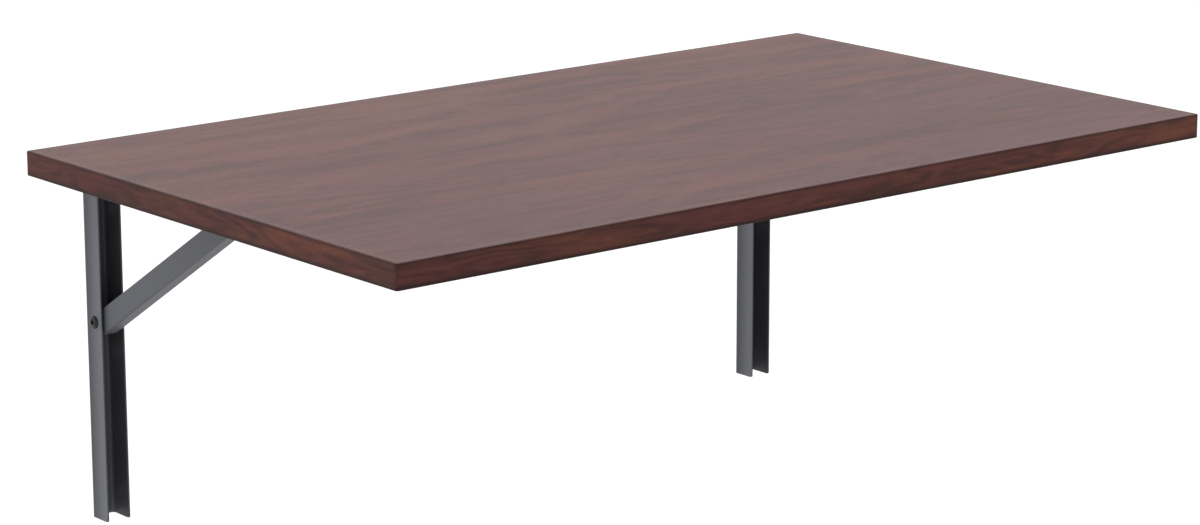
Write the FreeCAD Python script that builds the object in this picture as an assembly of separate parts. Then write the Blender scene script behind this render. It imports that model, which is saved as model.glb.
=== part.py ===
"""Wall mounted drop leaf table: a laminated leaf on two folding steel brackets.

Each bracket is a wall channel, an arm under the leaf and a prop strut. The arm hinges near the top
of the channel. The strut swings on a bolt half way down the channel, and a roller at its tip bears
on the underside of the arm. A spring catch in front of the roller holds the leaf up. Folded, the
leaf hangs in front of the channels, and the struts lie inside them.

Frame: millimetres, +X along the wall, -Y out of the wall, +Z up. The origin is on the wall, in the
centre of the pattern of wall holes.
"""
import FreeCAD
import Part
import math
import os

from FreeCAD import Vector

# ---- Driving dimensions, in millimetres ----------------------------------------------------------

# Leaf: a core with laminates on both faces and a solid edging on all four sides.
LEAF_LENGTH = 1000.0
LEAF_DEPTH = 600.0
LEAF_THICKNESS = 24.0
LAMINATE_THICKNESS = 0.8
EDGING_THICKNESS = 3.0
LEAF_CORNER_RADIUS = 3.0
LEAF_ARRIS_RADIUS = 0.8
LEAF_TO_WALL = 2.5

# Wall channels: folded sheet, open to the front, square at the foot.
LEAF_OVERHANG = 61.8
CHANNEL_WIDTH = 26.4
CHANNEL_DEPTH = 29.0
CHANNEL_SHEET = 1.8
CHANNEL_BEND_RADIUS = 3.0
CHANNEL_LENGTH = 355.0
CHANNEL_FOOT_RADIUS = 2.0
WALL_HOLE_RADIUS = 3.25
WALL_HOLE_SPAN = 290.0
WALL_HOLE_TO_FOOT = 20.0

# Arms: folded sheet, open downwards, nested in the channels when the leaf is down.
ARM_SHEET = 1.5
ARM_BEND_RADIUS = 1.0
ARM_DEPTH = 22.0
ARM_OVERRUN = 35.0
ARM_NOSE_RADIUS = 14.0

# Struts: folded sheet, open towards the arm. The pivot hole is above the centre line.
STRUT_SHEET = 1.5
STRUT_BEND_RADIUS = 1.0
STRUT_DEPTH = 22.0
STRUT_LENGTH = 278.3
STRUT_HOLE_OFFSET = 3.5
STRUT_TIP_RISE = 7.0
STRUT_WEB_SETBACK = 8.0

# Axes in each bracket.
PIVOT_BELOW_HINGE = 138.0

# Bolts, nuts and spacers at the hinge and at the strut's pivot.
BOLT_RADIUS = 3.0
BOLT_HEAD_RADIUS = 6.5
BOLT_HEAD_HEIGHT = 2.8
BOLT_CROWN_RADIUS = 3.2
BOLT_CROWN_BULGE = 0.6
BOLT_SOCKET_FLATS = 4.0
BOLT_SOCKET_DEPTH = 1.6
BOLT_TAIL = 1.5
NUT_FLATS = 10.0
NUT_HEIGHT = 5.0
NUT_COLLAR_RADIUS = 4.4
NUT_COLLAR_HEIGHT = 1.4
SPACER_RADIUS = 5.0

# Roller at the strut's tip, between two spacers on its pin.
ROLLER_RADIUS = 8.0
ROLLER_WIDTH = 10.0
ROLLER_CHAMFER = 0.8
ROLLER_PIN_RADIUS = 3.0
ROLLER_PIN_CHAMFER = 0.4

# Spring catch under the arm.
SPRING_THICKNESS = 0.8
SPRING_WIDTH = 11.0
SPRING_DROP = 6.2
SPRING_LIP = 4.4
SPRING_SLOPE_LENGTH = 42.0
SPRING_FOOT_LENGTH = 30.0
SPRING_BEND_RADIUS = 1.6
RIVET_RADIUS = 1.6
RIVET_HEAD_RADIUS = 3.0
RIVET_HEAD_HEIGHT = 1.1
RIVET_EDGE_DISTANCE = 7.0

# Screws that hold each arm to the leaf.
SCREW_RADIUS = 2.1
SCREW_HEAD_RADIUS = 4.0
SCREW_HEAD_HEIGHT = 2.5
SCREW_LENGTH = 20.0
SCREW_TIP_LENGTH = 4.0
SCREW_TO_HINGE = 35.0
SCREW_TO_ROLLER = 52.0
SCREW_TO_CATCH = 27.0
SCREW_TO_NOSE = 15.0

# Clearances.
LEAF_GAP = 1.0
ARM_PLAY = 0.4
STRUT_PLAY = 0.4
STRUT_BACK_GAP = 0.5
SPACER_PLAY = 0.1
RUNNING_CLEARANCE = 0.05
PIN_FIT = 0.02
ROLLER_GAP = 0.3
CATCH_GAP = 0.2
NOTCH_CLEARANCE = 1.2

# ---- Sizes that follow ---------------------------------------------------------------------------

# Widths nest: strut inside arm, arm inside channel.
CHANNEL_INSIDE = CHANNEL_WIDTH - 2 * CHANNEL_SHEET
ARM_WIDTH = CHANNEL_INSIDE - 2 * ARM_PLAY
ARM_INSIDE = ARM_WIDTH - 2 * ARM_SHEET
STRUT_WIDTH = ARM_INSIDE - 2 * STRUT_PLAY
STRUT_INSIDE = STRUT_WIDTH - 2 * STRUT_SHEET

# The leaf overhangs the channels by the same amount at both ends.
CHANNEL_SPACING = LEAF_LENGTH - 2 * LEAF_OVERHANG - CHANNEL_WIDTH

STRUT_RADIUS = STRUT_DEPTH / 2

CHANNEL_FOOT_Z = -WALL_HOLE_SPAN / 2 - WALL_HOLE_TO_FOOT
CHANNEL_TOP_Z = CHANNEL_FOOT_Z + CHANNEL_LENGTH
UNDERSIDE_Z = CHANNEL_TOP_Z + LEAF_GAP
SURFACE_Z = UNDERSIDE_Z + LEAF_THICKNESS

# Axes along X, as (y, z). The pivot is so far from the wall that the folded strut clears the channel.
HINGE = (-CHANNEL_DEPTH / 2, CHANNEL_TOP_Z - CHANNEL_DEPTH / 2)
PIVOT = (-(CHANNEL_SHEET + STRUT_BACK_GAP + STRUT_RADIUS + STRUT_HOLE_OFFSET),
         HINGE[1] - PIVOT_BELOW_HINGE)
PIVOT_FORWARD = HINGE[0] - PIVOT[0]

# Places on the arm: reach is the distance out from the hinge, rise the height above it.
HINGE_TO_LEAF = UNDERSIDE_Z - HINGE[1]
ARM_WEB_RISE = HINGE_TO_LEAF - ARM_SHEET
ARM_EDGE_RISE = HINGE_TO_LEAF - ARM_DEPTH
ROLLER_RISE = ARM_WEB_RISE - ROLLER_RADIUS - ROLLER_GAP
ROLLER_CLIMB = ROLLER_RISE + PIVOT_BELOW_HINGE
ROLLER_RUN = math.sqrt(STRUT_LENGTH ** 2 + STRUT_HOLE_OFFSET ** 2 - ROLLER_CLIMB ** 2)
ROLLER_REACH = ROLLER_RUN + PIVOT_FORWARD
STRUT_SLOPE = math.degrees(math.atan2(ROLLER_CLIMB, ROLLER_RUN)
                           + math.atan2(STRUT_HOLE_OFFSET, STRUT_LENGTH))
ARM_REACH = PIVOT_BELOW_HINGE + STRUT_LENGTH + ARM_OVERRUN

# Along the arm: the catch's lip in front of the roller, then its slope and its flat foot.
LIP_REACH = ROLLER_REACH + ROLLER_RADIUS + CATCH_GAP + SPRING_THICKNESS / 2
FOOT_REACH = LIP_REACH + SPRING_SLOPE_LENGTH
FOOT_END_REACH = FOOT_REACH + SPRING_FOOT_LENGTH
RIVET_REACHES = (FOOT_REACH + RIVET_EDGE_DISTANCE, FOOT_END_REACH - RIVET_EDGE_DISTANCE)
SCREW_REACHES = (SCREW_TO_HINGE, ROLLER_REACH - SCREW_TO_ROLLER, FOOT_END_REACH + SCREW_TO_CATCH,
                 ARM_REACH - SCREW_TO_NOSE)

SIDES = {"left": -1, "right": 1}


# ---- Helpers -------------------------------------------------------------------------------------

def polar(centre, radius, degrees):
    """Point at an angle on a circle, as (u, v)."""
    angle = math.radians(degrees)
    return centre[0] + radius * math.cos(angle), centre[1] + radius * math.sin(angle)


def arc(centre, radius, start, end):
    """Outline step: an arc between two angles, given as its middle and its end."""
    return polar(centre, radius, (start + end) / 2), polar(centre, radius, end)


def outline_face(steps, place):
    """Face inside a closed outline of corners and arcs, set in space by place(u, v)."""
    edges = []
    here = steps[-1][1] if isinstance(steps[-1][0], tuple) else steps[-1]
    for step in steps:
        curved = isinstance(step[0], tuple)
        there = step[1] if curved else step
        if curved:
            edges.append(Part.Arc(place(*here), place(*step[0]), place(*there)).toShape())
        elif math.dist(here, there) > 1e-6:
            edges.append(Part.makeLine(place(*here), place(*there)))
        here = there
    return Part.Face(Part.Wire(edges))


def side_prism(steps, width, place):
    """Solid of a side outline, centred on x = 0 and as wide as given."""
    start = Vector(-width / 2, 0, 0)
    face = outline_face(steps, lambda u, v: place(u, v) + start)
    return face.extrude(Vector(width, 0, 0))


def folded_channel(width, depth, sheet, inner, origin, opening, along):
    """Folded U section with bends of a given inner radius: the outside of its web passes through
    origin, and its flanges point along opening. It runs along the vector given."""
    half = width / 2
    bend = inner + sheet
    steps = [
        (-half, depth), (-half, bend), arc((bend - half, bend), bend, 180, 270),
        (half - bend, 0), arc((half - bend, bend), bend, 270, 360), (half, depth),
        (half - sheet, depth), (half - sheet, bend), arc((half - bend, bend), inner, 0, -90),
        (bend - half, sheet), arc((bend - half, bend), inner, 270, 180),
        (sheet - half, depth),
    ]
    face = outline_face(steps, lambda u, v: origin + Vector(u, 0, 0) + opening * v)
    return face.extrude(along)


def bent_strip(points, thickness, bend, width, place):
    """Flat strip bent along a side line: every inner corner of the line becomes an arc."""
    near, far = [], []
    half = thickness / 2
    last = len(points) - 1
    for index, (u, v) in enumerate(points):
        before = points[max(index - 1, 0)]
        after = points[min(index + 1, last)]
        come = math.degrees(math.atan2(v - before[1], u - before[0]))
        leave = math.degrees(math.atan2(after[1] - v, after[0] - u))
        if index in (0, last):
            heading = leave if index == 0 else come
            near.append(polar((u, v), half, heading + 90))
            far.append(polar((u, v), half, heading - 90))
            continue
        turn = (leave - come + 180) % 360 - 180
        side = 90 if turn > 0 else -90
        setback = bend * math.tan(math.radians(abs(turn) / 2))
        start = polar((u, v), setback, come + 180)
        centre = polar(start, bend, come + side)
        for path, radius in ((near, bend - math.copysign(half, turn)),
                             (far, bend + math.copysign(half, turn))):
            path.append(polar(centre, radius, come - side))
            path.append(arc(centre, radius, come - side, come - side + turn))
    return side_prism(near + reversed_steps(far), width, place)


def reversed_steps(steps):
    """The same open run of outline steps, walked from its end to its start."""
    walked = []
    for index in range(len(steps) - 1, -1, -1):
        step = steps[index]
        if isinstance(step[0], tuple):
            before = steps[index - 1]
            walked += [step[1], (step[0], before)]
        else:
            walked.append(step)
    return walked


def rod(radius, start, end, y, z):
    """Cylinder along X between two x places."""
    return Part.makeCylinder(radius, end - start, Vector(start, y, z), Vector(1, 0, 0))


def turned(steps, y, z):
    """Solid turned about an X axis: outline steps are (x, distance from the axis)."""
    face = outline_face(steps, lambda u, v: Vector(u, v, 0))
    return face.revolve(Vector(0, 0, 0), Vector(1, 0, 0), 360).translated(Vector(0, y, z))


def block(x, y, z):
    """Box between pairs of x, y and z places."""
    return Part.makeBox(x[1] - x[0], y[1] - y[0], z[1] - z[0], Vector(x[0], y[0], z[0]))


def on_arm(reach, rise):
    """Place on the raised arm, in the bracket's middle plane."""
    return Vector(0, HINGE[0] - reach, HINGE[1] + rise)


def on_strut(run, offset):
    """Place on the raised strut: run up its centre line from the pivot, offset towards the arm."""
    cosine = math.cos(math.radians(STRUT_SLOPE))
    sine = math.sin(math.radians(STRUT_SLOPE))
    offset -= STRUT_HOLE_OFFSET
    return Vector(0, PIVOT[0] - run * cosine + offset * sine, PIVOT[1] + run * sine + offset * cosine)


# ---- Leaf ----------------------------------------------------------------------------------------

def leaf_pieces():
    """Core, laminates and edgings, with the pilot holes of the arms' screws."""
    half = LEAF_LENGTH / 2
    rear = -LEAF_TO_WALL
    front = rear - LEAF_DEPTH
    whole = block((-half, half), (front, rear), (UNDERSIDE_Z, SURFACE_Z))
    uprights = [e for e in whole.Edges if abs(e.tangentAt(e.FirstParameter).z) > 0.5]
    whole = whole.makeFillet(LEAF_CORNER_RADIUS, uprights)
    rims = [e for e in whole.Edges if e.BoundBox.ZLength < 1e-6]
    whole = whole.makeFillet(LEAF_ARRIS_RADIUS, rims)

    core_x = (EDGING_THICKNESS - half, half - EDGING_THICKNESS)
    core_y = (front + EDGING_THICKNESS, rear - EDGING_THICKNESS)
    core_z = (UNDERSIDE_Z + LAMINATE_THICKNESS, SURFACE_Z - LAMINATE_THICKNESS)
    front_y = (front, core_y[0])
    rear_y = (core_y[1], rear)
    full_z = (UNDERSIDE_Z, SURFACE_Z)

    pilots = Part.makeCompound([pilot for side in SIDES.values() for pilot in screw_holes(side)])
    return {
        "tabletop_core": block(core_x, core_y, core_z).cut(pilots),
        "top_laminate": block(core_x, core_y, (core_z[1], SURFACE_Z)),
        "bottom_laminate": block(core_x, core_y, (UNDERSIDE_Z, core_z[0])).cut(pilots),
        "front_edging": whole.common(block((-half, half), front_y, full_z)),
        "rear_edging": whole.common(block((-half, half), rear_y, full_z)),
        "left_edging": whole.common(block((-half, core_x[0]), core_y, full_z)),
        "right_edging": whole.common(block((core_x[1], half), core_y, full_z)),
    }


def screw_holes(side):
    """Pilot holes up through an arm's web into the leaf, for the arm on that side."""
    radius = SCREW_RADIUS + RUNNING_CLEARANCE
    height = SCREW_LENGTH + RUNNING_CLEARANCE
    middle = Vector(side * CHANNEL_SPACING / 2, 0, 0)
    return [Part.makeCylinder(radius, height, on_arm(reach, ARM_WEB_RISE) + middle)
            for reach in SCREW_REACHES]


# ---- Bracket: wall channel -----------------------------------------------------------------------

def wall_channel():
    """Channel whose flange tops are rounded about the hinge, so that the leaf swings past them."""
    channel = folded_channel(CHANNEL_WIDTH, CHANNEL_DEPTH, CHANNEL_SHEET, CHANNEL_BEND_RADIUS,
                             Vector(0, 0, CHANNEL_FOOT_Z), Vector(0, -1, 0),
                             Vector(0, 0, CHANNEL_LENGTH))
    corner = (CHANNEL_FOOT_RADIUS - CHANNEL_DEPTH, CHANNEL_FOOT_Z + CHANNEL_FOOT_RADIUS)
    profile = [
        (0, CHANNEL_TOP_Z), (HINGE[0], CHANNEL_TOP_Z),
        arc(HINGE, CHANNEL_DEPTH / 2, 90, 180), (-CHANNEL_DEPTH, corner[1]),
        arc(corner, CHANNEL_FOOT_RADIUS, 180, 270), (0, CHANNEL_FOOT_Z),
    ]
    channel = channel.common(side_prism(profile, CHANNEL_WIDTH, lambda y, z: Vector(0, y, z)))
    for z in (-WALL_HOLE_SPAN / 2, 0, WALL_HOLE_SPAN / 2):
        hole = Part.makeCylinder(WALL_HOLE_RADIUS, CHANNEL_SHEET, Vector(0, 0, z), Vector(0, -1, 0))
        channel = channel.cut(hole)
    for axis in (HINGE, PIVOT):
        channel = channel.cut(bolt_hole(CHANNEL_WIDTH, axis))
    return channel


def bolt_hole(width, axis):
    """Hole for a hinge or pivot bolt, across both flanges."""
    return rod(BOLT_RADIUS + RUNNING_CLEARANCE, -width / 2, width / 2, *axis)


def bolt(axis):
    """Button head bolt across the channel, its head on the outer side, with a hexagon socket."""
    head_x = -CHANNEL_WIDTH / 2
    tail_x = CHANNEL_WIDTH / 2 + NUT_HEIGHT + NUT_COLLAR_HEIGHT + BOLT_TAIL
    socket_x = head_x - BOLT_HEAD_HEIGHT
    shoulder = ((head_x + socket_x) / 2, (BOLT_HEAD_RADIUS + BOLT_CROWN_RADIUS) / 2 + BOLT_CROWN_BULGE)
    solid = turned([
        (socket_x, 0), (socket_x, BOLT_CROWN_RADIUS), shoulder, (head_x, BOLT_HEAD_RADIUS),
        (head_x, BOLT_RADIUS),
        (tail_x - BOLT_TAIL / 2, BOLT_RADIUS), (tail_x, BOLT_RADIUS - BOLT_TAIL / 2), (tail_x, 0),
    ], *axis)
    return solid.cut(hexagon(BOLT_SOCKET_FLATS, socket_x, socket_x + BOLT_SOCKET_DEPTH, axis))


def hexagon(flats, start, end, axis):
    """Hexagonal prism along X on a bolt's axis."""
    corner = flats / math.sqrt(3)
    steps = [polar(axis, corner, 60 * k) for k in range(6)]
    face = outline_face(steps, lambda y, height: Vector(start, y, height))
    return face.extrude(Vector(end - start, 0, 0))


def nut(axis):
    """Lock nut with chamfered corners and a collar, against the channel's inner side."""
    seat = CHANNEL_WIDTH / 2
    corner = NUT_FLATS / math.sqrt(3)
    chamfer = corner - NUT_FLATS / 2
    cone = turned([(seat, 0), (seat, corner), (seat + NUT_HEIGHT - chamfer, corner),
                   (seat + NUT_HEIGHT, NUT_FLATS / 2), (seat + NUT_HEIGHT, 0)], *axis)
    body = hexagon(NUT_FLATS, seat, seat + NUT_HEIGHT, axis).common(cone)
    top = seat + NUT_HEIGHT + NUT_COLLAR_HEIGHT
    body = body.fuse(rod(NUT_COLLAR_RADIUS, seat + NUT_HEIGHT, top, *axis))
    return body.cut(rod(BOLT_RADIUS + PIN_FIT, seat, top, *axis)).removeSplitter()


def spacers(inside, outside, axis):
    """Two rings on an axis that fill the room between a narrow piece and a wide one."""
    inner = inside / 2 + SPACER_PLAY
    outer = outside / 2 - SPACER_PLAY
    rings = []
    for start, end in ((-outer, -inner), (inner, outer)):
        ring = rod(SPACER_RADIUS, start, end, *axis)
        rings.append(ring.cut(rod(BOLT_RADIUS + RUNNING_CLEARANCE, start, end, *axis)))
    return Part.makeCompound(rings)


# ---- Bracket: arm under the leaf -----------------------------------------------------------------

def arm():
    """Arm with rounded hinge ears, a round nose and a notch that passes the strut's bolt."""
    ear = -ARM_EDGE_RISE
    channel = folded_channel(ARM_WIDTH, ARM_DEPTH, ARM_SHEET, ARM_BEND_RADIUS,
                             on_arm(-ear, HINGE_TO_LEAF), Vector(0, 0, -1),
                             Vector(0, -ARM_REACH - ear, 0))
    nose = (ARM_REACH - ARM_NOSE_RADIUS, ARM_EDGE_RISE + ARM_NOSE_RADIUS)
    profile = [
        (-ear, HINGE_TO_LEAF), (-ear, 0), arc((0, 0), ear, 180, 270), (nose[0], ARM_EDGE_RISE),
        arc(nose, ARM_NOSE_RADIUS, 270, 360), (ARM_REACH, HINGE_TO_LEAF),
    ]
    solid = channel.common(side_prism(profile, ARM_WIDTH, on_arm))
    solid = solid.cut(bolt_hole(ARM_WIDTH, HINGE)).cut(passing_notch())
    middle = Vector(CHANNEL_SPACING / 2, 0, 0)
    for hole in screw_holes(1):
        solid = solid.cut(hole.translated(-middle))
    for reach in RIVET_REACHES:
        solid = solid.cut(Part.makeCylinder(RIVET_RADIUS + PIN_FIT, ARM_SHEET,
                                            on_arm(reach, ARM_WEB_RISE)))
    return solid


def passing_notch():
    """Notch in the arm's free edges: folded, the strut's bolt and spacers sit in it."""
    radius = SPACER_RADIUS + NOTCH_CLEARANCE
    folded = (PIVOT_BELOW_HINGE, PIVOT_FORWARD)
    steps = [
        (folded[0] + radius, folded[1]), arc(folded, radius, 0, 180),
        (folded[0] - radius, ARM_EDGE_RISE), (folded[0] + radius, ARM_EDGE_RISE),
    ]
    return side_prism(steps, ARM_WIDTH, on_arm)


def pan_head(radius, height, seat):
    """Low head with a chamfered rim, hanging down from its seat."""
    head = Part.makeCylinder(radius, height, seat, Vector(0, 0, -1))
    rim = [e for e in head.Edges if e.BoundBox.ZMax < seat.z - height / 2]
    return head.makeChamfer(height / 2, rim)


def arm_screws():
    """Pan head wood screws up through the arm's web."""
    screws = []
    for reach in SCREW_REACHES:
        base = on_arm(reach, ARM_WEB_RISE)
        head = pan_head(SCREW_HEAD_RADIUS, SCREW_HEAD_HEIGHT, base)
        straight = SCREW_LENGTH - SCREW_TIP_LENGTH
        shank = Part.makeCylinder(SCREW_RADIUS, straight, base)
        tip = Part.makeCone(SCREW_RADIUS, SCREW_RADIUS / 4, SCREW_TIP_LENGTH,
                            base + Vector(0, 0, straight))
        screws.append(head.fuse(shank).fuse(tip).removeSplitter())
    return Part.makeCompound(screws)


# ---- Bracket: spring catch -----------------------------------------------------------------------

def catch_spring():
    """Leaf spring: a flat foot on the arm's web, a slope down and a lip in front of the roller."""
    top = ARM_WEB_RISE - SPRING_THICKNESS / 2
    low = top - SPRING_DROP
    line = [(FOOT_END_REACH, top), (FOOT_REACH, top), (LIP_REACH, low),
            (LIP_REACH, low - SPRING_LIP)]
    strip = bent_strip(line, SPRING_THICKNESS, SPRING_BEND_RADIUS, SPRING_WIDTH, on_arm)
    for reach in RIVET_REACHES:
        strip = strip.cut(Part.makeCylinder(RIVET_RADIUS + PIN_FIT, SPRING_THICKNESS,
                                            on_arm(reach, ARM_WEB_RISE - SPRING_THICKNESS)))
    return strip


def spring_rivets():
    """Rivets through the catch's foot and the arm's web, flush against the leaf."""
    rivets = []
    for reach in RIVET_REACHES:
        face = on_arm(reach, ARM_WEB_RISE - SPRING_THICKNESS)
        shank = Part.makeCylinder(RIVET_RADIUS, SPRING_THICKNESS + ARM_SHEET, face)
        head = pan_head(RIVET_HEAD_RADIUS, RIVET_HEAD_HEIGHT, face)
        rivets.append(head.fuse(shank).removeSplitter())
    return Part.makeCompound(rivets)


# ---- Bracket: prop strut -------------------------------------------------------------------------

def strut():
    """Strut with a round lower end, and a tip bevelled to lie flat under the arm's web."""
    channel = folded_channel(STRUT_WIDTH, STRUT_DEPTH, STRUT_SHEET, STRUT_BEND_RADIUS,
                             on_strut(-STRUT_RADIUS, -STRUT_RADIUS),
                             on_strut(0, 1) - on_strut(0, 0),
                             on_strut(STRUT_LENGTH + 2 * STRUT_RADIUS, 0) - on_strut(0, 0))
    solid = channel.common(side_prism(strut_profile(), STRUT_WIDTH, on_strut))
    low = -STRUT_RADIUS
    bend = low + STRUT_SHEET + STRUT_BEND_RADIUS
    for start, end in ((low, 0), (STRUT_LENGTH - STRUT_WEB_SETBACK, STRUT_LENGTH - low)):
        web = [(start, low), (end, low), (end, bend), (start, bend)]
        solid = solid.cut(side_prism(web, STRUT_INSIDE, on_strut))
    solid = solid.cut(bolt_hole(STRUT_WIDTH, PIVOT))
    tip = on_strut(STRUT_LENGTH, 0)
    return solid.cut(rod(ROLLER_PIN_RADIUS + PIN_FIT, -STRUT_WIDTH / 2, STRUT_WIDTH / 2,
                         tip.y, tip.z))


def strut_profile():
    """Side outline: half round at the pivot, round in front of the roller, bevelled above it."""
    tip = (STRUT_LENGTH, 0)
    up = 90 - STRUT_SLOPE
    half_chord = math.sqrt(STRUT_RADIUS ** 2 - STRUT_TIP_RISE ** 2)
    front = up - math.degrees(math.atan2(half_chord, STRUT_TIP_RISE))
    bevel = polar(tip, STRUT_TIP_RISE, up)
    back = (STRUT_RADIUS - bevel[1]) / math.sin(math.radians(STRUT_SLOPE))
    shoulder = polar(bevel, back, up + 90)
    return [
        (0, STRUT_RADIUS), arc((0, 0), STRUT_RADIUS, 90, 270), (STRUT_LENGTH, -STRUT_RADIUS),
        arc(tip, STRUT_RADIUS, -90, front), shoulder,
    ]


def roller_pin():
    """Plain pin, flush with the outsides of the strut's flanges."""
    tip = on_strut(STRUT_LENGTH, 0)
    half = STRUT_WIDTH / 2
    inner = ROLLER_PIN_RADIUS - ROLLER_PIN_CHAMFER
    return turned([
        (-half, 0), (-half, inner), (ROLLER_PIN_CHAMFER - half, ROLLER_PIN_RADIUS),
        (half - ROLLER_PIN_CHAMFER, ROLLER_PIN_RADIUS), (half, inner), (half, 0),
    ], tip.y, tip.z)


def roller():
    """Plain roller with chamfered rims, running on the pin between its spacers."""
    tip = on_strut(STRUT_LENGTH, 0)
    half = ROLLER_WIDTH / 2
    bore = ROLLER_PIN_RADIUS + RUNNING_CLEARANCE
    rim = ROLLER_RADIUS - ROLLER_CHAMFER
    return turned([
        (-half, bore), (-half, rim), (ROLLER_CHAMFER - half, ROLLER_RADIUS),
        (half - ROLLER_CHAMFER, ROLLER_RADIUS), (half, rim), (half, bore),
    ], tip.y, tip.z)


def bracket_pieces():
    """All pieces of the left bracket, centred on x = 0 with its bolt heads towards -X."""
    tip = on_strut(STRUT_LENGTH, 0)
    return {
        "wall_channel": wall_channel(),
        "hinge_bolt": bolt(HINGE),
        "hinge_nut": nut(HINGE),
        "pivot_bolt": bolt(PIVOT),
        "pivot_nut": nut(PIVOT),
        "pivot_spacers": spacers(STRUT_WIDTH, CHANNEL_INSIDE, PIVOT),
        "arm": arm(),
        "arm_screws": arm_screws(),
        "catch_spring": catch_spring(),
        "spring_rivets": spring_rivets(),
        "strut": strut(),
        "roller_pin": roller_pin(),
        "roller_spacers": spacers(ROLLER_WIDTH, STRUT_INSIDE, (tip.y, tip.z)),
        "roller": roller(),
    }


# ---- Assembly ------------------------------------------------------------------------------------

def build():
    """Every node of the table by name: the leaf's pieces, and a bracket and its mirror image."""
    pieces = leaf_pieces()
    for name, shape in bracket_pieces().items():
        for side, sign in SIDES.items():
            placed = shape if sign < 0 else shape.mirror(Vector(0, 0, 0), Vector(1, 0, 0))
            pieces[side + "_" + name] = placed.translated(Vector(sign * CHANNEL_SPACING / 2, 0, 0))
    return pieces


os.makedirs("parts", exist_ok=True)
for node, piece in build().items():
    piece.exportStep("parts/" + node + ".step")
    print(node, len(piece.Solids), "solids", round(piece.Volume, 1), "mm3", piece.isValid())
print("roller reach", round(ROLLER_REACH, 3), "rise", round(ROLLER_RISE, 3),
      "strut slope", round(STRUT_SLOPE, 4), "hinge", HINGE, "pivot", PIVOT)
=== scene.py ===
# %% [markdown]
# # A wall mounted drop leaf table, dressed in Blender
#
# The table is a flat wood-effect leaf on two folding steel brackets. Its exact solids come packed
# from a CAD model, and this lesson dresses them: it sets up a small studio, makes the fasteners
# that deserve more than plain solids, and gives every surface a procedural finish.

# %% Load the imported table
import math

import bmesh
import bpy
import numpy as np
from mathutils import Matrix, Vector


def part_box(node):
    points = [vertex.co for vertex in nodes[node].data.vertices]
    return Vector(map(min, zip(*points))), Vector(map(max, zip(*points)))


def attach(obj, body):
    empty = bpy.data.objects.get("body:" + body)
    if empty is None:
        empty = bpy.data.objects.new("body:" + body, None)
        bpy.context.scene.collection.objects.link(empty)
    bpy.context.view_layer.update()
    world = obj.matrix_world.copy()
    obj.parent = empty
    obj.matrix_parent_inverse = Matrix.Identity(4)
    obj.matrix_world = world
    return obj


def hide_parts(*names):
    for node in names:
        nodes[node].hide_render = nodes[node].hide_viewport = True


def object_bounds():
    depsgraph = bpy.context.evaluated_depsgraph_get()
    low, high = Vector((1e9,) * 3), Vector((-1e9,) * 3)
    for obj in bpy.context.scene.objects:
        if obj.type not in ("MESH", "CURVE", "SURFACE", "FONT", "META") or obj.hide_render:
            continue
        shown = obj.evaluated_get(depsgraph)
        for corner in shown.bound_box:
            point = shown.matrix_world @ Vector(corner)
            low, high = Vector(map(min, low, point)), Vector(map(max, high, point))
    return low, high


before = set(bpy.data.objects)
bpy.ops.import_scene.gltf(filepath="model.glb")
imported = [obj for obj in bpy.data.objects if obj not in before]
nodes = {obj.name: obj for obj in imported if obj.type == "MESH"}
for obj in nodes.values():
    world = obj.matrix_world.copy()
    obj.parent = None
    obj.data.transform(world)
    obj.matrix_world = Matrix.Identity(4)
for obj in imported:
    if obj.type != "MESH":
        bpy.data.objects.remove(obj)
cad_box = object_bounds()

# %% [markdown]
# ## Shader maths
#
# A procedural finish is mostly arithmetic on coordinates. Drawn by hand it becomes dozens of Math
# nodes, which hide the idea. So a small class wraps a socket and lets Python's own operators add
# the nodes. The reflected forms are there so that 1 - mask works as well as mask - 1.

# %% Sockets with operators
class Value:
    """One output socket; + - * on it add Math nodes to the graph it belongs to."""

    def __init__(self, graph, socket):
        self.graph, self.socket = graph, socket

    def math(self, operation, *others):
        """Any Math node with this value in its first socket."""
        return self.graph.node("Math", {"operation": operation},
                               dict(enumerate((self, *others))))

    def __add__(self, other):
        return self.math("ADD", other)

    def __sub__(self, other):
        return self.math("SUBTRACT", other)

    def __mul__(self, other):
        return self.math("MULTIPLY", other)

    def __rsub__(self, other):
        return self.graph.node("Math", {"operation": "SUBTRACT"}, {0: other, 1: self})

    __radd__, __rmul__ = __add__, __mul__

    def step(self, low, high):
        """Smooth rise from 0 to 1 as this value goes from low to high."""
        return self.graph.node("MapRange", {"interpolation_type": "SMOOTHSTEP"},
                               {"Value": self, "From Min": low, "From Max": high})


# %% [markdown]
# ## Node graphs
#
# Noises, colour mixes and everything else that isn't arithmetic come from one method. It takes a
# node's type, its settings and what feeds its sockets, and gives back one output as such a value.
# The sky and every material are built with it, so their code reads as a list of what they hold.

# %% Graphs
class Graph:
    """A node tree that ends in one shader, whose nodes are added by name."""

    def __init__(self, tree, shader):
        self.tree, self.shader = tree, tree.nodes[shader]

    def node(self, kind, settings=None, inputs=None, out=0):
        """Adds a node, sets its settings, then links or sets its sockets; gives one output."""
        made = self.tree.nodes.new("ShaderNode" + kind)
        for key, value in (settings or {}).items():
            setattr(made, key, value)
        for key, value in (inputs or {}).items():
            self.join(value, made.inputs[key])
        return Value(self, made.outputs[out])

    def join(self, value, target):
        """Links a value to a socket, or sets the socket to a plain number or colour."""
        if isinstance(value, Value):
            self.tree.links.new(value.socket, target)
        else:
            target.default_value = value

    def set(self, **sockets):
        """Feeds sockets of the shader, named with _ for a space."""
        for key, value in sockets.items():
            self.join(value, self.shader.inputs[key.replace("_", " ")])

    def mix(self, low, high, share):
        """Blend of two colours by a share from 0 to 1."""
        return self.node("Mix", {"data_type": "RGBA"}, {0: share, 6: low, 7: high}, out=2)


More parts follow.
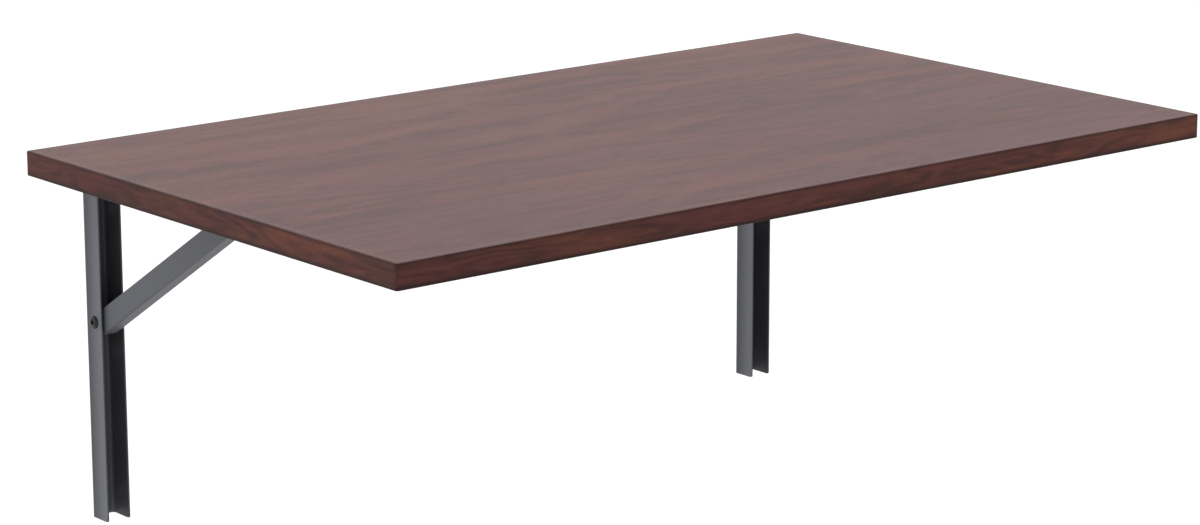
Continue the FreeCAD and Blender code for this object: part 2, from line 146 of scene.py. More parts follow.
# %% [markdown]
# ## Materials as graphs
#
# A material is such a graph with a Principled shader at its end. Its patterns read Object
# coordinates. Every piece has its origin at the wall and keeps its true place in its mesh, so these
# are metres on the real table, and a noise stretched along one axis becomes wood grain. A colour is
# given as a screen shows it, from 0 to 255, and turned into the linear light that shaders add up.

# %% Finishes
class Finish(Graph):
    """A material whose patterns are sized in metres on the object."""

    def __init__(self, name):
        self.material = bpy.data.materials.new(name)
        self.material.use_nodes = True
        super().__init__(self.material.node_tree, "Principled BSDF")
        self.place = self.node("TexCoord", out="Object")

    def noise(self, scale, shift=0.0, detail=2.0, rough=0.5):
        """Smooth noise; a larger scale on an axis makes the pattern finer along it.

        shift moves it by a different share on each axis, so that no two noises look alike.
        """
        spot = self.node("Mapping", None, {"Vector": self.place, "Scale": scale,
                                           "Location": (shift, shift * 1.7, shift * 0.3)})
        return self.node("TexNoise", None, {"Vector": spot, "Scale": 1.0, "Detail": detail,
                                            "Roughness": rough})

    def axes(self):
        """The three coordinates as separate values."""
        split = self.node("SeparateXYZ", None, {"Vector": self.place}).socket.node
        return [Value(self, out) for out in split.outputs]

    def bump(self, height, distance):
        """Normal bent by a height field; distance is how many metres one unit of height stands."""
        return self.node("Bump", None, {"Height": height, "Distance": distance})


def paint(finish, *pieces):
    """Puts a finish on CAD nodes or new pieces."""
    for piece in pieces:
        piece = nodes.get(piece) or bpy.data.objects[piece]
        if not piece.material_slots:
            piece.data.materials.append(None)
        for slot in piece.material_slots:
            slot.material = finish.material


# %% Screen colours
def colour(red, green, blue):
    """Screen colour from 0 to 255 a channel, as the linear colour a shader works in.

    This is the sRGB curve: a straight line near black, and above it a power of 2.4.
    """
    screen = np.array([red, green, blue]) / 255
    linear = np.where(screen <= 0.04045, screen / 12.92, ((screen + 0.055) / 1.055) ** 2.4)
    return (*linear.tolist(), 1.0)


print("screen grey 128 is", round(colour(128, 128, 128)[0], 3), "in linear light")

# %% [markdown]
# ## Camera
#
# A table this flat is best seen from a little above and from one corner, where the top, two edges
# and a bracket show together. A long lens from almost four metres away keeps the edges nearly
# parallel. The camera's matrix is built from its own three directions, which is plainer than Euler
# angles: back towards the viewer, sideways, and up.

# %% Camera
AZIMUTH, ELEVATION, ROLL = -39.309, 13.638, -0.0905  # degrees
CAMERA_PLACE = (-2.35673, -3.14165, 0.97840)
SENSOR_WIDTH, FOCAL_LENGTH = 36.0, 114.95


def direction(azimuth, elevation):
    """Unit vector, by degrees from the front towards the right and degrees above the horizon.

    Formula: (sin a * cos e, -cos a * cos e, sin e).
    """
    a, e = math.radians(azimuth), math.radians(elevation)
    return Vector((math.sin(a) * math.cos(e), -math.cos(a) * math.cos(e), math.sin(e)))


back = direction(AZIMUTH, ELEVATION)
level = Vector((0, 0, 1)).cross(back).normalized()
roll = math.radians(ROLL)
sideways = level * math.cos(roll) + back.cross(level) * math.sin(roll)
placed = Matrix((sideways, back.cross(sideways), back)).transposed().to_4x4()
placed.translation = CAMERA_PLACE

lens = bpy.data.cameras.new("camera")
lens.sensor_width, lens.lens = SENSOR_WIDTH, FOCAL_LENGTH
lens.clip_end = 100
camera = bpy.data.objects.new("camera", lens)
camera.matrix_world = placed
bpy.context.scene.collection.objects.link(camera)
bpy.context.scene.camera = camera
print("camera", [round(v, 3) for v in camera.location], "lens", FOCAL_LENGTH, "mm")

# %% [markdown]
# ## Studio floor
#
# The real table hangs on a wall. The studio has none, so that every side of the table can be seen,
# and the floor lies as far below the leaf as it does in a room: 750 mm, a table's usual height. It
# is a pale, matt ground, one square far larger than the view, with a slow change of tone so that
# it isn't one flat colour.

# %% Floor
TABLE_HEIGHT, FLOOR_HALF = 0.75, 30.0
FLOOR_Z = cad_box[1].z - TABLE_HEIGHT
corners = [(-1, -1), (1, -1), (1, 1), (-1, 1)]
flat = bpy.data.meshes.new("floor")
flat.from_pydata([(x * FLOOR_HALF, y * FLOOR_HALF, FLOOR_Z) for x, y in corners], [],
                 [(0, 1, 2, 3)])
floor = bpy.data.objects.new("floor", flat)
bpy.context.scene.collection.objects.link(floor)

studio_floor = Finish("studio_floor")
studio_floor.set(Base_Color=studio_floor.mix(colour(243, 243, 243), colour(248, 248, 248),
                                             studio_floor.noise((3, 3, 3))), Roughness=0.9)
floor.data.materials.append(studio_floor.material)
print("floor", round(cad_box[0].z - FLOOR_Z, 3), "m below the brackets")

# %% [markdown]
# ## Soft light
#
# A studio lights such an object with a white tent: light comes from everywhere, and large soft
# boxes make it stronger from some sides. A sky does the same without lamps or hard edges. Each soft
# box is a lobe: the dot product of the sky's direction with the box's, eased from nothing to full.
# One stands behind the table on the left, which gives the outer faces of the left bracket and the
# left edge their light, and a weaker one hangs overhead for the top.

# %% Sky
SOFT_BOXES = [  # azimuth, elevation, strength
    (225, 15, 0.65), (0, 90, 0.36)]
BOX_EDGE = 0.5  # cosine of the angle from a box's middle at which its light ends
EVEN_LIGHT = 0.97

world = bpy.data.worlds.new("studio_sky")
world.use_nodes = True
sky = Graph(world.node_tree, "Background")
towards = sky.node("TexCoord", out="Generated")
glow = 0.0
for azimuth, elevation, strength in SOFT_BOXES:
    near = sky.node("VectorMath", {"operation": "DOT_PRODUCT"},
                    {0: towards, 1: direction(azimuth, elevation)}, out="Value")
    glow = near.step(BOX_EDGE, 1.0) * strength + glow
sky.set(Color=glow + EVEN_LIGHT, Strength=1.0)
bpy.context.scene.world = world
bpy.context.scene.view_settings.view_transform = "Standard"
print(len(SOFT_BOXES), "soft boxes in an even sky of", EVEN_LIGHT)

# %% [markdown]
# ## Turned surfaces
#
# Bolts, nuts, screws, rivets and rollers are turned, pressed or moulded to shapes that are nearly
# round about one axis. The Spin tool or a Screw modifier could turn a profile, but a grid can do
# more: a profile is carried round the axis, and its radius may also change with the angle, which is
# enough for a hexagon, a cross recess or a thread. Numpy works out the whole grid at once.

# %% Grid helpers
COLUMNS = 48
ANGLES = np.arange(COLUMNS) * 2 * np.pi / COLUMNS


def turned(profile, centre, axis, across):
    """Grid of points, a row for each (s, r) of the profile and a column for each angle a.

    Formula: centre + s * axis + r * (cos a * across + sin a * third), where third is the cross
    product of axis and across. r is one number, or one number an angle.
    """
    axis, across = (np.array(v, float) for v in (axis, across))
    third = np.cross(axis, across)
    ring = np.cos(ANGLES)[:, None] * across + np.sin(ANGLES)[:, None] * third
    along = np.array([s for s, r in profile], float)[:, None, None] * axis
    reach = np.array([np.broadcast_to(r, COLUMNS) for s, r in profile])[:, :, None]
    return np.array(centre, float) + along + reach * ring


def grid_faces(rows, start, loop):
    """Faces of a grid whose columns join round: quads, and a cap on each end row without loop."""
    index = start + np.arange(rows * COLUMNS).reshape(rows, COLUMNS)
    lower = index if loop else index[:-1]
    upper = np.roll(index, -1, axis=0) if loop else index[1:]
    quads = [lower, np.roll(lower, -1, axis=1), np.roll(upper, -1, axis=1), upper]
    caps = [] if loop else [index[0].tolist(), index[-1].tolist()]
    return np.stack(quads, axis=2).reshape(-1, 4).tolist() + caps


print("each turned piece has", COLUMNS, "columns, one every", 360 / COLUMNS, "degrees")

# %% [markdown]
# ## From grids to pieces
#
# A grid becomes a mesh in one call, and a node with several screws becomes one mesh of several
# grids. Caps and rings may come out facing either way, so the normals are recalculated, and edges
# sharper than a set angle stay crisp while the rest is shaded smooth. Then the piece is told which
# body of the mechanism it rides on, and the CAD node it stands for is hidden.

# %% Skin
CREASE = math.radians(32)


def skin(name, grids, body, stands_for=(), loop=False):
    """Closed mesh over grids; with loop the last row joins the first, as in a ring."""
    faces, start = [], 0
    for grid in grids:
        faces += grid_faces(len(grid), start, loop)
        start += len(grid) * COLUMNS
    mesh = bpy.data.meshes.new(name)
    mesh.from_pydata(np.concatenate([g.reshape(-1, 3) for g in grids]).tolist(), [], faces)
    shell = bmesh.new()
    shell.from_mesh(mesh)
    bmesh.ops.recalc_face_normals(shell, faces=shell.faces)
    shell.to_mesh(mesh)
    shell.free()
    mesh.shade_smooth()
    mesh.set_sharp_from_angle(angle=CREASE)
    piece = bpy.data.objects.new(name, mesh)
    bpy.context.scene.collection.objects.link(piece)
    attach(piece, body)
    if stands_for:
        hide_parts(*stands_for)
    print(name, len(mesh.vertices), "points,", len(mesh.polygons), "faces")


# %% [markdown]
# ## Bolts
#
# Each bracket turns on two M6 button head bolts. The low dome, the hexagon socket and the threads
# past the nut are what tell the eye that this is a bolt. Head, shank and thread could be separate
# shapes joined by booleans, which leave ragged faces on a thread. Here they are rows of one profile,
# so a bolt is one closed skin, and a groove that moves one pitch along in each turn is a helix.

# %% Hexagon, dome and thread
def hexagon(flats):
    """Radius of a regular hexagon at each angle: half the width across flats over a cosine."""
    return flats / 2 / np.cos((ANGLES + np.pi / 6) % (np.pi / 3) - np.pi / 6)


def dome(start, height, inner, outer, rows=9, first=0.0):
    """Rows of a quarter ellipse, for t from first to a quarter turn.

    Formula: s = start + height * (1 - cos t), r = inner + (outer - inner) * sin t.
    """
    t = np.linspace(first, np.pi / 2, rows)
    return list(zip(start + height * (1 - np.cos(t)), inner + (outer - inner) * np.sin(t)))


def thread(start, end, pitch, crest, depth):
    """Rows of a screw thread, eight a pitch, whose groove moves one pitch along in each turn.

    Across a pitch its depth follows a triangle wave, stretched and cut off so that crest and root
    are flat. It fades in over the first pitch, where the thread leaves the shank.
    """
    stations = np.arange(start, end, pitch / 8)
    phase = stations[:, None] / pitch - ANGLES[None, :] / (2 * np.pi)
    triangle = np.abs(2 * (phase % 1) - 1)
    groove = np.clip(1.25 * triangle - 0.12, 0, 1) * depth
    fade = np.clip((stations - start) / pitch, 0, 1)[:, None]
    return list(zip(stations, crest - groove * fade))


print("a 10 mm hexagon is", round(2 * hexagon(10).max(), 2), "mm across its corners")

# %% Button head bolts
MM = 0.001
SIDES = {"left": -1, "right": 1}
BOLT_RADIUS, BOLT_PITCH, BOLT_GROOVE = 3.0 * MM, 1.0 * MM, 0.55 * MM
THREAD_LENGTH, THREAD_RUN_IN = 11.5 * MM, 0.1 * MM
SOCKET_FLATS, SOCKET_DEPTH, SOCKET_CHAMFER = 4.0 * MM, 1.6 * MM, 0.25 * MM
CROWN_RADIUS, DOME_HEIGHT, HEAD_HEIGHT = 3.0 * MM, 2.3 * MM, 2.8 * MM
RIM_TAPER, RIM_CHAMFER, RIM_CHAMFER_HEIGHT = 0.04 * MM, 0.25 * MM, 0.2 * MM
TAIL_LENGTH, TAIL_RADIUS, TAIL_END_RADIUS = 0.6 * MM, 2.75 * MM, 2.35 * MM


def on_inward_axis(node, sign):
    """A node's start and its middle on the axis that runs inwards from its side of the table.

    The axis lies along X through the node's middle, and its zero is midway between the brackets.
    """
    low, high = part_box(node)
    start = low.x if sign < 0 else -high.x
    return start, (0, (low.y + high.y) / 2, (low.z + high.z) / 2)


def button_bolt(node, sign):
    """Bolt: socket, flat crown, quarter-ellipse dome, rim, shank, thread and tapered tail."""
    low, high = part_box(node)
    start, middle = on_inward_axis(node, sign)
    end, rim = start + (high.x - low.x), (high.z - low.z) / 2
    seat, bite = start + HEAD_HEIGHT, end - THREAD_LENGTH
    socket = hexagon(SOCKET_FLATS)
    profile = [
        (start + SOCKET_DEPTH, socket), (start + SOCKET_CHAMFER, socket),
        (start, socket + SOCKET_CHAMFER), *dome(start, DOME_HEIGHT, CROWN_RADIUS, rim),
        (seat - RIM_CHAMFER_HEIGHT, rim - RIM_TAPER), (seat, rim - RIM_CHAMFER),
        (seat, BOLT_RADIUS), (bite - THREAD_RUN_IN, BOLT_RADIUS),
        *thread(bite, end - BOLT_PITCH, BOLT_PITCH, BOLT_RADIUS, BOLT_GROOVE),
        (end - TAIL_LENGTH, TAIL_RADIUS), (end, TAIL_END_RADIUS)]
    grid = turned(profile, middle, axis=(-sign, 0, 0), across=(0, 1, 0))
    skin(node.replace("bolt", "button_bolt"), [grid], "wall_frame", [node])


for side, sign in SIDES.items():
    button_bolt(side + "_hinge_bolt", sign)
    button_bolt(side + "_pivot_bolt", sign)

# %% [markdown]
# ## Lock nuts
#
# A lock nut is a hexagon whose corners are cut back by a cone at both ends. On top it has a round
# collar rolled in over a nylon ring. Cutting the cones with booleans would leave long thin faces.
# Here the radius of each row is the smaller of hexagon and cone, so the curved edges where the two
# meet appear by themselves. Both profiles run round the bore, so they close as rings.

# %% Lock nuts and their nylon rings
# Outlines here are rows of (distance, radius) in millimetres.
NUT_FLATS = 10.0
NUT_CONES = [(0.0, 4.75), (0.15, 5.05), (0.35, 5.4), (0.6, 5.8),
             (4.3, 5.8), (4.6, 5.45), (4.85, 5.05), (5.0, 4.8)]
NUT_COLLAR = [(5.0, 4.4), *dome(6.4, -0.8, 3.9, 4.4, rows=5)[::-1]]
NUT_BORE = [(6.3, 3.75), (5.9, 3.7), (5.9, 3.15), (0.3, 3.15), (0.0, 3.4)]
LOCK_RING = [(5.92, 3.72), (6.1, 3.68), (6.18, 3.4), (6.1, 3.1), (5.92, 3.04)]


def lock_nut(node, sign):
    """Nut against a channel: chamfered hexagon, collar with a rolled lip, bore; and its ring."""
    start, middle = on_inward_axis(node, sign)

    def ring(outline):
        rows = [(start + s * MM, np.array(r) * MM) for s, r in outline]
        return turned(rows, middle, axis=(-sign, 0, 0), across=(0, 1, 0))

    cut = [(s, np.minimum(hexagon(NUT_FLATS), r)) for s, r in NUT_CONES]
    skin(node.replace("nut", "lock_nut"), [ring(cut + NUT_COLLAR + NUT_BORE)],
         "wall_frame", [node], loop=True)
    skin(node.replace("nut", "nut_ring"), [ring(LOCK_RING)], "wall_frame", loop=True)


for side, sign in SIDES.items():
    lock_nut(side + "_hinge_nut", sign)
    lock_nut(side + "_pivot_nut", sign)

# %% [markdown]
# ## Screws
#
# Four pan head screws hold each arm to the leaf. A screw's head has a cross recess. A boolean could
# cut it, but its outline is again only a radius that changes with the angle, so it is the start of
# the same profile and narrows as it goes down. The screw runs on into the board with a coarse thread
# and a gimlet point. The leaf hides that part, but it shows where the table is taken apart.

# %% Where the screws and rivets are
PIECE_GAP = 5 * MM


def places(node):
    """Middles (x, y) of a node's separate pieces, its lowest z and its highest z.

    The pieces lie in a row along Y, so its points are sorted and split where Y jumps by a gap.
    """
    low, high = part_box(node)
    y = np.sort([v.co.y for v in nodes[node].data.vertices])
    groups = np.split(y, np.flatnonzero(np.diff(y) > PIECE_GAP) + 1)
    return [((low.x + high.x) / 2, (g[0] + g[-1]) / 2) for g in groups], low.z, high.z


for holder in ("arm_screws", "spring_rivets"):
    print(len(places("left_" + holder)[0]), holder.replace("_", " "), "a side")

# %% Wood screws
SCREW_RADIUS, SCREW_PITCH, SCREW_GROOVE = 2.1 * MM, 1.8 * MM, 0.5 * MM
SHANK_RADIUS, SHANK_LENGTH, SCREW_RUN_IN = 1.9 * MM, 3.4 * MM, 0.1 * MM
POINT_LENGTH, POINT_WAIST, POINT_RADIUS = 3.0 * MM, 1.1 * MM, 0.25 * MM
PAN_HEIGHT, PAN_RADIUS, PAN_CROWN, PAN_DOME = 2.5 * MM, 4.0 * MM, 2.5 * MM, 1.5 * MM
PAN_TAPER, PAN_CHAMFER = 0.02 * MM, 0.25 * MM
BAR_HALF_WIDTH, BAR_HALF_LENGTH = 0.62 * MM, 2.1 * MM
CROSS_DEPTH, CROSS_FLOOR = 1.7 * MM, 0.35  # a floor or a neck is a share of the cross's size
CROSS_NECK_DEPTH, CROSS_NECK = 0.25 * MM, 0.92
CROSS_BEVEL_DEPTH, CROSS_BEVEL = 0.12 * MM, 0.08 * MM


def cross(half_width, half_length):
    """Radius of a plus sign at each angle: the farther of its two bars in that direction."""
    c, s = (np.maximum(np.abs(f(ANGLES)), 1e-6) for f in (np.cos, np.sin))
    return np.maximum(np.minimum(half_width / s, half_length / c),
                      np.minimum(half_width / c, half_length / s))


def wood_screw(x, y, head, tip):
    """Rows of one screw: cross recess, low dome, rim, seat, shank, coarse thread and point."""
    bars, end = cross(BAR_HALF_WIDTH, BAR_HALF_LENGTH), tip - head
    run_in = PAN_HEIGHT + SHANK_LENGTH
    profile = [
        (CROSS_DEPTH, CROSS_FLOOR * bars), (CROSS_NECK_DEPTH, CROSS_NECK * bars),
        (CROSS_BEVEL_DEPTH, bars + CROSS_BEVEL),
        *dome(CROSS_BEVEL_DEPTH, PAN_DOME, PAN_CROWN, PAN_RADIUS, rows=8),
        (PAN_HEIGHT - PAN_CHAMFER, PAN_RADIUS - PAN_TAPER), (PAN_HEIGHT, PAN_RADIUS - PAN_CHAMFER),
        (PAN_HEIGHT, SHANK_RADIUS), (run_in, SHANK_RADIUS),
        *thread(run_in + SCREW_RUN_IN, end - POINT_LENGTH, SCREW_PITCH, SCREW_RADIUS,
                SCREW_GROOVE),
        (end - POINT_LENGTH / 2, POINT_WAIST), (end, POINT_RADIUS)]
    return turned(profile, (x, y, head), axis=(0, 0, 1), across=(1, 0, 0))


for side in SIDES:
    spots, head, tip = places(side + "_arm_screws")
    screws = [wood_screw(x, y, head, tip) for x, y in spots]
    skin(side + "_wood_screws", screws, "leaf", [side + "_arm_screws"])

# %% [markdown]
# ## Rivets and rollers
#
# Two rivets hold each spring catch, and a nylon roller at the end of each strut runs along the arm
# under the leaf. The rivet is a low dome that starts from a small ring at its pole, so its end cap
# stays tiny. The roller is a ring: its profile goes out along one side, over the tread with its
# rounded shoulders and back along the other side, and the last row joins the first.

# %% Rivets
RIVET_RADIUS, RIVET_HEAD_RADIUS, RIVET_TAPER = 1.6 * MM, 3.0 * MM, 0.05 * MM
RIVET_DOME, RIVET_HEAD_HEIGHT = 1.0 * MM, 1.1 * MM
POLE_ANGLE = 0.08  # radians


def rivet(x, y, head, tip):
    """Rows of one rivet: a low dome with a small pole, its rim, and a plain shank."""
    profile = [*dome(0.0, RIVET_DOME, 0.0, RIVET_HEAD_RADIUS, first=POLE_ANGLE),
               (RIVET_HEAD_HEIGHT, RIVET_HEAD_RADIUS - RIVET_TAPER),
               (RIVET_HEAD_HEIGHT, RIVET_RADIUS), (tip - head, RIVET_RADIUS)]
    return turned(profile, (x, y, head), axis=(0, 0, 1), across=(1, 0, 0))


# %% Tyres
BORE_RADIUS, HUB_RADIUS, HUB_SETBACK = 3.05 * MM, 4.6 * MM, 0.5 * MM
BEVEL_RADIUS, BEVEL_SETBACK, SIDE_RADIUS = 5.0 * MM, 0.2 * MM, 5.6 * MM
SHOULDER = 1.2 * MM


def tyre(node, body):
    """Roller: bore, flat hub faces set back from the rims, and a tread with rounded shoulders."""
    low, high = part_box(node)
    half, reach = (high.x - low.x) / 2, (high.z - low.z) / 2
    one_side = [(half - HUB_SETBACK, BORE_RADIUS), (half - HUB_SETBACK, HUB_RADIUS),
                (half - BEVEL_SETBACK, BEVEL_RADIUS), (half, SIDE_RADIUS),
                *dome(half, -SHOULDER, reach - SHOULDER, reach, rows=6)]
    other_side = [(-s, r) for s, r in one_side[::-1]]
    grid = turned(one_side + other_side, (low + high) / 2, axis=(1, 0, 0), across=(0, 0, 1))
    skin(node.replace("roller", "roller_tyre"), [grid], body, [node], loop=True)


# %% Rivets and tyres of both sides
for side in SIDES:
    spots, head, tip = places(side + "_spring_rivets")
    rivets = [rivet(x, y, head, tip) for x, y in spots]
    skin(side + "_catch_rivets", rivets, "leaf", [side + "_spring_rivets"])
    tyre(side + "_roller", side + "_roller")

# %% [markdown]
# ## Walnut print
#
# The leaf's faces and edges are a printed laminate. A mauve brown ground carries soft patches of
# orange brown, rings drawn out into long arches, short streaks, fine fibres and dark pores. All of
# them run along the piece. An image of real wood would need a file and would repeat. Instead, noise
# squeezed across the grain and stretched along it gives each kind of mark at its own scale, and a
# weighted sum of them is the tone.

# %% Wood figure
ALONG_X, ALONG_Y = 0, 1
RINGS = 12


def wood_figure(finish, grain, tones, contrast, size=1.0, warmth=0.0):
    """Colour, pores and streaks of a printed finish whose grain runs along X or along Y.

    size is how large its figure is; warmth shifts its patches from cool to warm, and may change
    over the piece. The rings are a folded noise, which rises and falls again for each ring.
    """
    deep, ground, warm, cool = tones

    def marks(length, width, **more):
        scale = [1 / width] * 3
        scale[grain] = 1 / length
        return finish.noise(scale, **more)

    drift = marks(0.38 * size, 0.040 * size, shift=3.1, detail=3)
    tint = marks(0.32 * size, 0.045 * size, shift=7.7, detail=2.5) + warmth
    swirl = marks(0.50 * size, 0.075 * size, shift=1.3, detail=2.5, rough=0.45)
    rings = (swirl * (2 * RINGS)).math("PINGPONG", 1.0)
    streak = marks(0.11 * size, 0.010 * size, shift=5.2, detail=4, rough=0.65)
    fibre = marks(0.03, 0.0008, shift=9.4)
    pores = marks(0.007, 0.00045, shift=2.6, detail=1, rough=0.4).step(0.60, 0.70)

    tone = drift * 0.38 + rings * 0.16 + streak * 0.36 + fibre * 0.10
    base = finish.mix(deep, ground, tone.step(0.5 - contrast, 0.5 + contrast))
    base = finish.mix(base, warm, tint.step(0.46, 0.72) * 0.6)
    base = finish.mix(base, cool, (1 - tint).step(0.50, 0.72) * 0.6)
    finish.set(Normal=finish.bump(1 - pores * 0.7 - fibre * 0.3, 0.00004))
    return finish.mix(base, deep, pores * 0.45), pores, streak


# %% [markdown]
# ## Leaf faces
#
# A face is matt enough to hide fingerprints, and its embossed pores scatter most of its gloss, so
# its specular level is low. Hands and chair backs polish a strip along its rim, which only shows
# in the roughness. How far a point lies inside the rim comes from its distance to each pair of
# edges, so no mask has to be painted.

# %% Top and bottom laminate
FACE_TONES = [colour(*c) for c in ((76, 42, 41), (99, 57, 55), (109, 67, 53), (90, 56, 58))]
POLISHED_WIDTH = 12 * MM

low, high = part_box("top_laminate")
face = Finish("walnut_laminate")
x, y = face.axes()[:2]
base, pores, streak = wood_figure(face, ALONG_X, FACE_TONES, contrast=0.12,
                                  warmth=y * 0.3 + 0.08)
past_end = (x - (low.x + high.x) / 2).math("ABSOLUTE") - (high.x - low.x) / 2
past_side = (y - (low.y + high.y) / 2).math("ABSOLUTE") - (high.y - low.y) / 2
polished = past_end.math("MAXIMUM", past_side).step(-POLISHED_WIDTH, 0.0)
face.set(Base_Color=base, Roughness=0.43 + pores * 0.12 + streak * 0.06 - polished * 0.04,
         Specular_IOR_Level=0.31)
paint(face, "top_laminate", "bottom_laminate")
print("polished rim of", round(high.x - low.x, 3), "by", round(high.y - low.y, 3), "m")

# %% [markdown]
# ## Leaf edges
#
# The edging is a thin strip of the same print, redder and more matt. Where it meets the faces, the
# dark backing of the laminate shows as a line along each arris, and the arris itself is rubbed
# smooth. Both follow from the height above or below the middle of the leaf, which keeps the lines
# straight all the way round. The grain runs along each strip, so two finishes are made.

# %% Edging
EDGE_TONES = [colour(*c) for c in ((56, 31, 28), (84, 46, 39), (102, 58, 41), (76, 39, 38))]
# Each pair is the two heights, from the leaf's middle, between which a mask changes over.
UPPER_LINE, LOWER_LINE = (8.6 * MM, 11.2 * MM), (6.2 * MM, 10.6 * MM)
RUBBED_ARRIS = (11.6 * MM, 12.0 * MM)
low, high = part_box("front_edging")
LEAF_MIDDLE = (low.z + high.z) / 2


def edging(name, grain):
    """Edging with a dark, smoother line along each arris; lines are masks of the height."""
    strip = Finish(name)
    base, pores, streak = wood_figure(strip, grain, EDGE_TONES, contrast=0.15, size=0.45)
    above = strip.axes()[2] - LEAF_MIDDLE
    line = above.step(*UPPER_LINE) * 0.6 + (0 - above).step(*LOWER_LINE) * 0.85
    line = line * (1 - above.math("ABSOLUTE").step(*RUBBED_ARRIS) * 0.8)
    strip.set(Base_Color=strip.mix(base, colour(34, 17, 16), line),
              Roughness=0.5 + pores * 0.12 + streak * 0.06 - line * 0.12,
              Specular_IOR_Level=0.12)
    return strip


paint(edging("walnut_edging_long", ALONG_X), "front_edging", "rear_edging")
paint(edging("walnut_edging_short", ALONG_Y), "left_edging", "right_edging")
print("edging", round((high.z - low.z) / MM, 1), "mm high")

# %% [markdown]
# ## Core board
#
# Inside the leaf is particle board: pale chips of wood pressed with glue. It only shows where a
# part is opened up, but it deserves its own finish. Noise has no edges, and chips do, so this
# pattern is made of Voronoi cells, flattened like the pressed chips. Each cell gets one shade
# between two browns.

# %% Particle board
CHIPS_A_METRE = (260, 420, 900)

core = Finish("particle_board")
spot = core.node("Mapping", None, {"Vector": core.place, "Scale": CHIPS_A_METRE})
chips = core.node("TexVoronoi", {"feature": "F1"}, {"Vector": spot, "Scale": 1.0}, out="Color")
shade = core.node("SeparateColor", None, {"Color": chips})
core.set(Base_Color=core.mix(colour(148, 116, 78), colour(205, 178, 134), shade),
         Roughness=0.8, Normal=core.bump(shade, 0.0001))
paint(core, "tabletop_core")
print("chips about", round(1000 / CHIPS_A_METRE[0], 1), "mm long")

# %% [markdown]
# ## Powder coat
#
# The brackets are sheet steel with a baked powder coat in dark grey. Powder melts into a skin
# with a fine orange peel, which breaks up its reflections, and its colour hardly varies. Use
# shows as rings rubbed round the bolt heads, and as the track of the roller under each arm. The
# channels also carry painted shade: their outer faces are painted darker towards the wall and
# paler towards the open side, and their inner faces are painted darker towards the open side.
# Each of these could be painted by hand, but a mask of the distance from a bolt's centre, from the
# bracket's middle plane or from the wall puts it exactly in its place. The track's mask also reads
# the height, which keeps it off the struts.

# %% Where the brackets wear and where shade is painted
HINGE_CENTRE, PIVOT_CENTRE = (
    (0, sum(c.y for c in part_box(node)) / 2, sum(c.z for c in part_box(node)) / 2)
    for node in ("left_hinge_bolt", "left_pivot_bolt"))
BRACKET_X = sum(c.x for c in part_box("right_arm")) / 2
# Each pair is the two distances between which a mask changes over.
RING_RADIUS, RING_FADE = 7.2 * MM, (0.3 * MM, 1.4 * MM)
TRACK_SIDE, TRACK_START, TRACK_HEIGHT = (3.5 * MM, 5.5 * MM), (0.09, 0.13), (0.186, 0.189)
# Masks of the painted shade on the channels: which face a point is on, and how far it is from the
# wall.
INNER_TO_OUTER_FACE = (12.1 * MM, 12.9 * MM)
PAINTED_SHADE_REACH = (2 * MM, 26 * MM)
print("rubbed rings at", [tuple(round(v, 4) for v in c) for c in (HINGE_CENTRE, PIVOT_CENTRE)])


# %% Bracket finishes
def powder_coat(name, channel):
    """Powder coat for the moving pieces, or for the channels with painted shade that follows the
    distance from the wall.
    """
    coat = Finish(name)
    peel = coat.noise((900, 900, 900))
    mottle = coat.noise((14, 14, 14), detail=3, rough=0.6)
    x, y, z = coat.axes()
    off_middle = (x.math("ABSOLUTE") - BRACKET_X).math("ABSOLUTE")
    from_side = coat.node("Mapping", None, {"Vector": coat.place, "Scale": (0, 1, 1)})
    track = (1 - off_middle.step(*TRACK_SIDE)) * (0 - y).step(*TRACK_START)
    worn = track * z.step(*TRACK_HEIGHT)
    for centre in (HINGE_CENTRE, PIVOT_CENTRE):
        away = coat.node("VectorMath", {"operation": "DISTANCE"}, {0: from_side, 1: centre},
                         out="Value")
        worn = (1 - (away - RING_RADIUS).math("ABSOLUTE").step(*RING_FADE)) + worn
    worn = worn.math("MINIMUM", 1.0)
    base = coat.mix(colour(74, 75, 81), colour(81, 83, 89), mottle)
    if channel:
        # Painted shade on the channels: inner faces painted darker towards the open side, outer
        # faces painted darker towards the wall and paler towards the open side.
        depth = (0 - y).step(*PAINTED_SHADE_REACH)
        painted_inner_shade = coat.mix(colour(73, 74, 80), colour(46, 47, 51), depth)
        painted_outer_shade = coat.mix(colour(50, 51, 56), colour(91, 93, 99), depth)
        shaded = coat.mix(painted_inner_shade, painted_outer_shade, off_middle.step(*INNER_TO_OUTER_FACE))
        base = coat.mix(shaded, base, mottle * 0.3)
    coat.set(Base_Color=coat.mix(base, colour(104, 106, 112), worn * 0.4),
             Roughness=0.42 + mottle * 0.12 + peel * 0.06 - worn * 0.12,
             Specular_IOR_Level=0.35, Normal=coat.bump(peel, 0.00006))
    return coat


# The channels' coat carries painted shade; the arms and struts get the plain coat.
channel_coat_painted_shade = powder_coat("channel_powder_coat_painted_shade", channel=True)
bracket_coat = powder_coat("bracket_powder_coat", channel=False)
for side in SIDES:
    paint(channel_coat_painted_shade, side + "_wall_channel")
    paint(bracket_coat, side + "_arm", side + "_strut")
print("two powder coats")

# %% [markdown]
# ## Plated steel
#
# The bolts are blackened, the nuts, screws, rivets and roller pins are zinc plated, and the catch
# is blued spring steel. All of them are metals, so their colour is the colour of their
# reflections. Two tones change over in blotches, and fine tool marks roughen them. One function
# serves all three, because only their colours and the run of their marks differ: a spring is
# rolled strip, so its marks are drawn out along it.

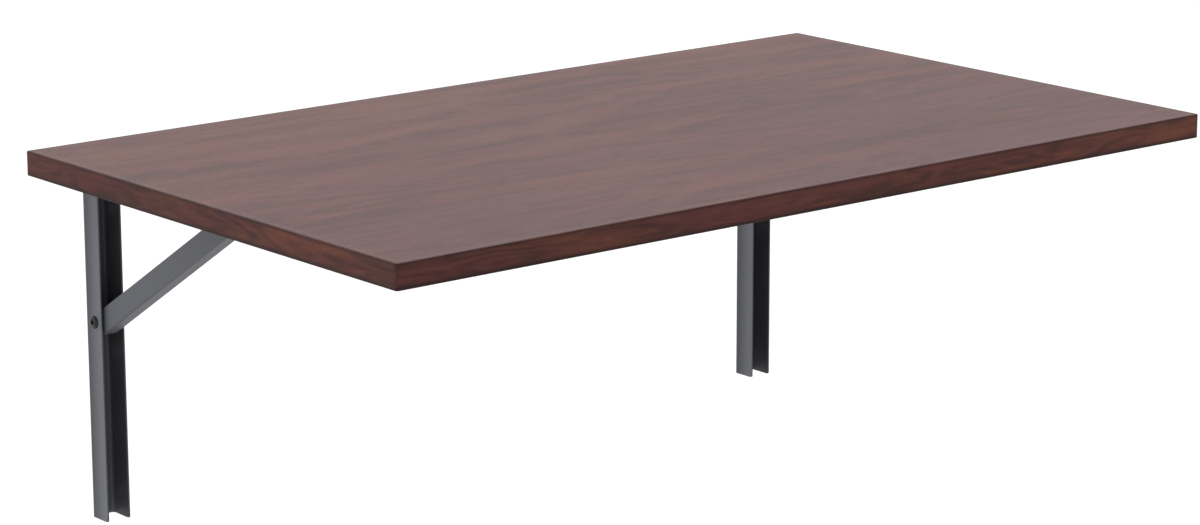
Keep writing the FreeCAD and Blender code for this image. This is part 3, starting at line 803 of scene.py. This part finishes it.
# %% Plated metals
def plated(name, low, high, rough, grain):
    """Plated metal: two tones mixed by blotches, with fine tool marks in its roughness."""
    metal = Finish(name)
    blotch = metal.noise((220, 220, 220), detail=4, rough=0.6)
    marks = metal.noise(grain, rough=0.6)
    metal.set(Base_Color=metal.mix(low, high, blotch.step(0.3, 0.7)), Metallic=1.0,
              Roughness=rough + marks * 0.18, Normal=metal.bump(marks, 0.00001))
    return metal


black = plated("blackened_steel", colour(38, 38, 41), colour(62, 62, 66), 0.30, (900, 900, 900))
zinc = plated("zinc_plate", colour(168, 170, 176), colour(198, 199, 202), 0.26,
              (1500, 500, 1500))
blued = plated("blued_spring_steel", colour(84, 92, 112), colour(118, 126, 146), 0.24,
               (4000, 120, 4000))
for side in SIDES:
    paint(black, side + "_hinge_button_bolt", side + "_pivot_button_bolt")
    paint(zinc, side + "_hinge_lock_nut", side + "_pivot_lock_nut", side + "_wood_screws",
          side + "_catch_rivets", side + "_roller_pin")
    paint(blued, side + "_catch_spring")
print("three platings")

# %% [markdown]
# ## Nylon
#
# The rollers, the spacer rings and the nuts' locking rings are moulded black nylon: a waxy
# plastic with a fine spark texture from its mould, which softens its highlights. The texture is
# too fine to model, so it is a noise that drives the bump and, a little, the colour.

# %% Nylon pieces
nylon = Finish("black_nylon")
grit = nylon.noise((1200, 1200, 1200))
nylon.set(Base_Color=nylon.mix(colour(38, 38, 40), colour(52, 52, 55), grit),
          Roughness=0.46 + grit * 0.08, Normal=nylon.bump(grit, 0.00002))
for side in SIDES:
    paint(nylon, side + "_pivot_spacers", side + "_roller_spacers", side + "_roller_tyre",
          side + "_hinge_nut_ring", side + "_pivot_nut_ring")
bare = [p.name for p in bpy.data.objects if p.type == "MESH" and not p.material_slots]
print("pieces without a finish:", bare)

# %% [markdown]
# ## Sizes
#
# The dressed table must keep the size of its CAD model, so the CAD model's box is written down.

# %% Sizes
print("CAD box", [round(v, 4) for c in cad_box for v in c])
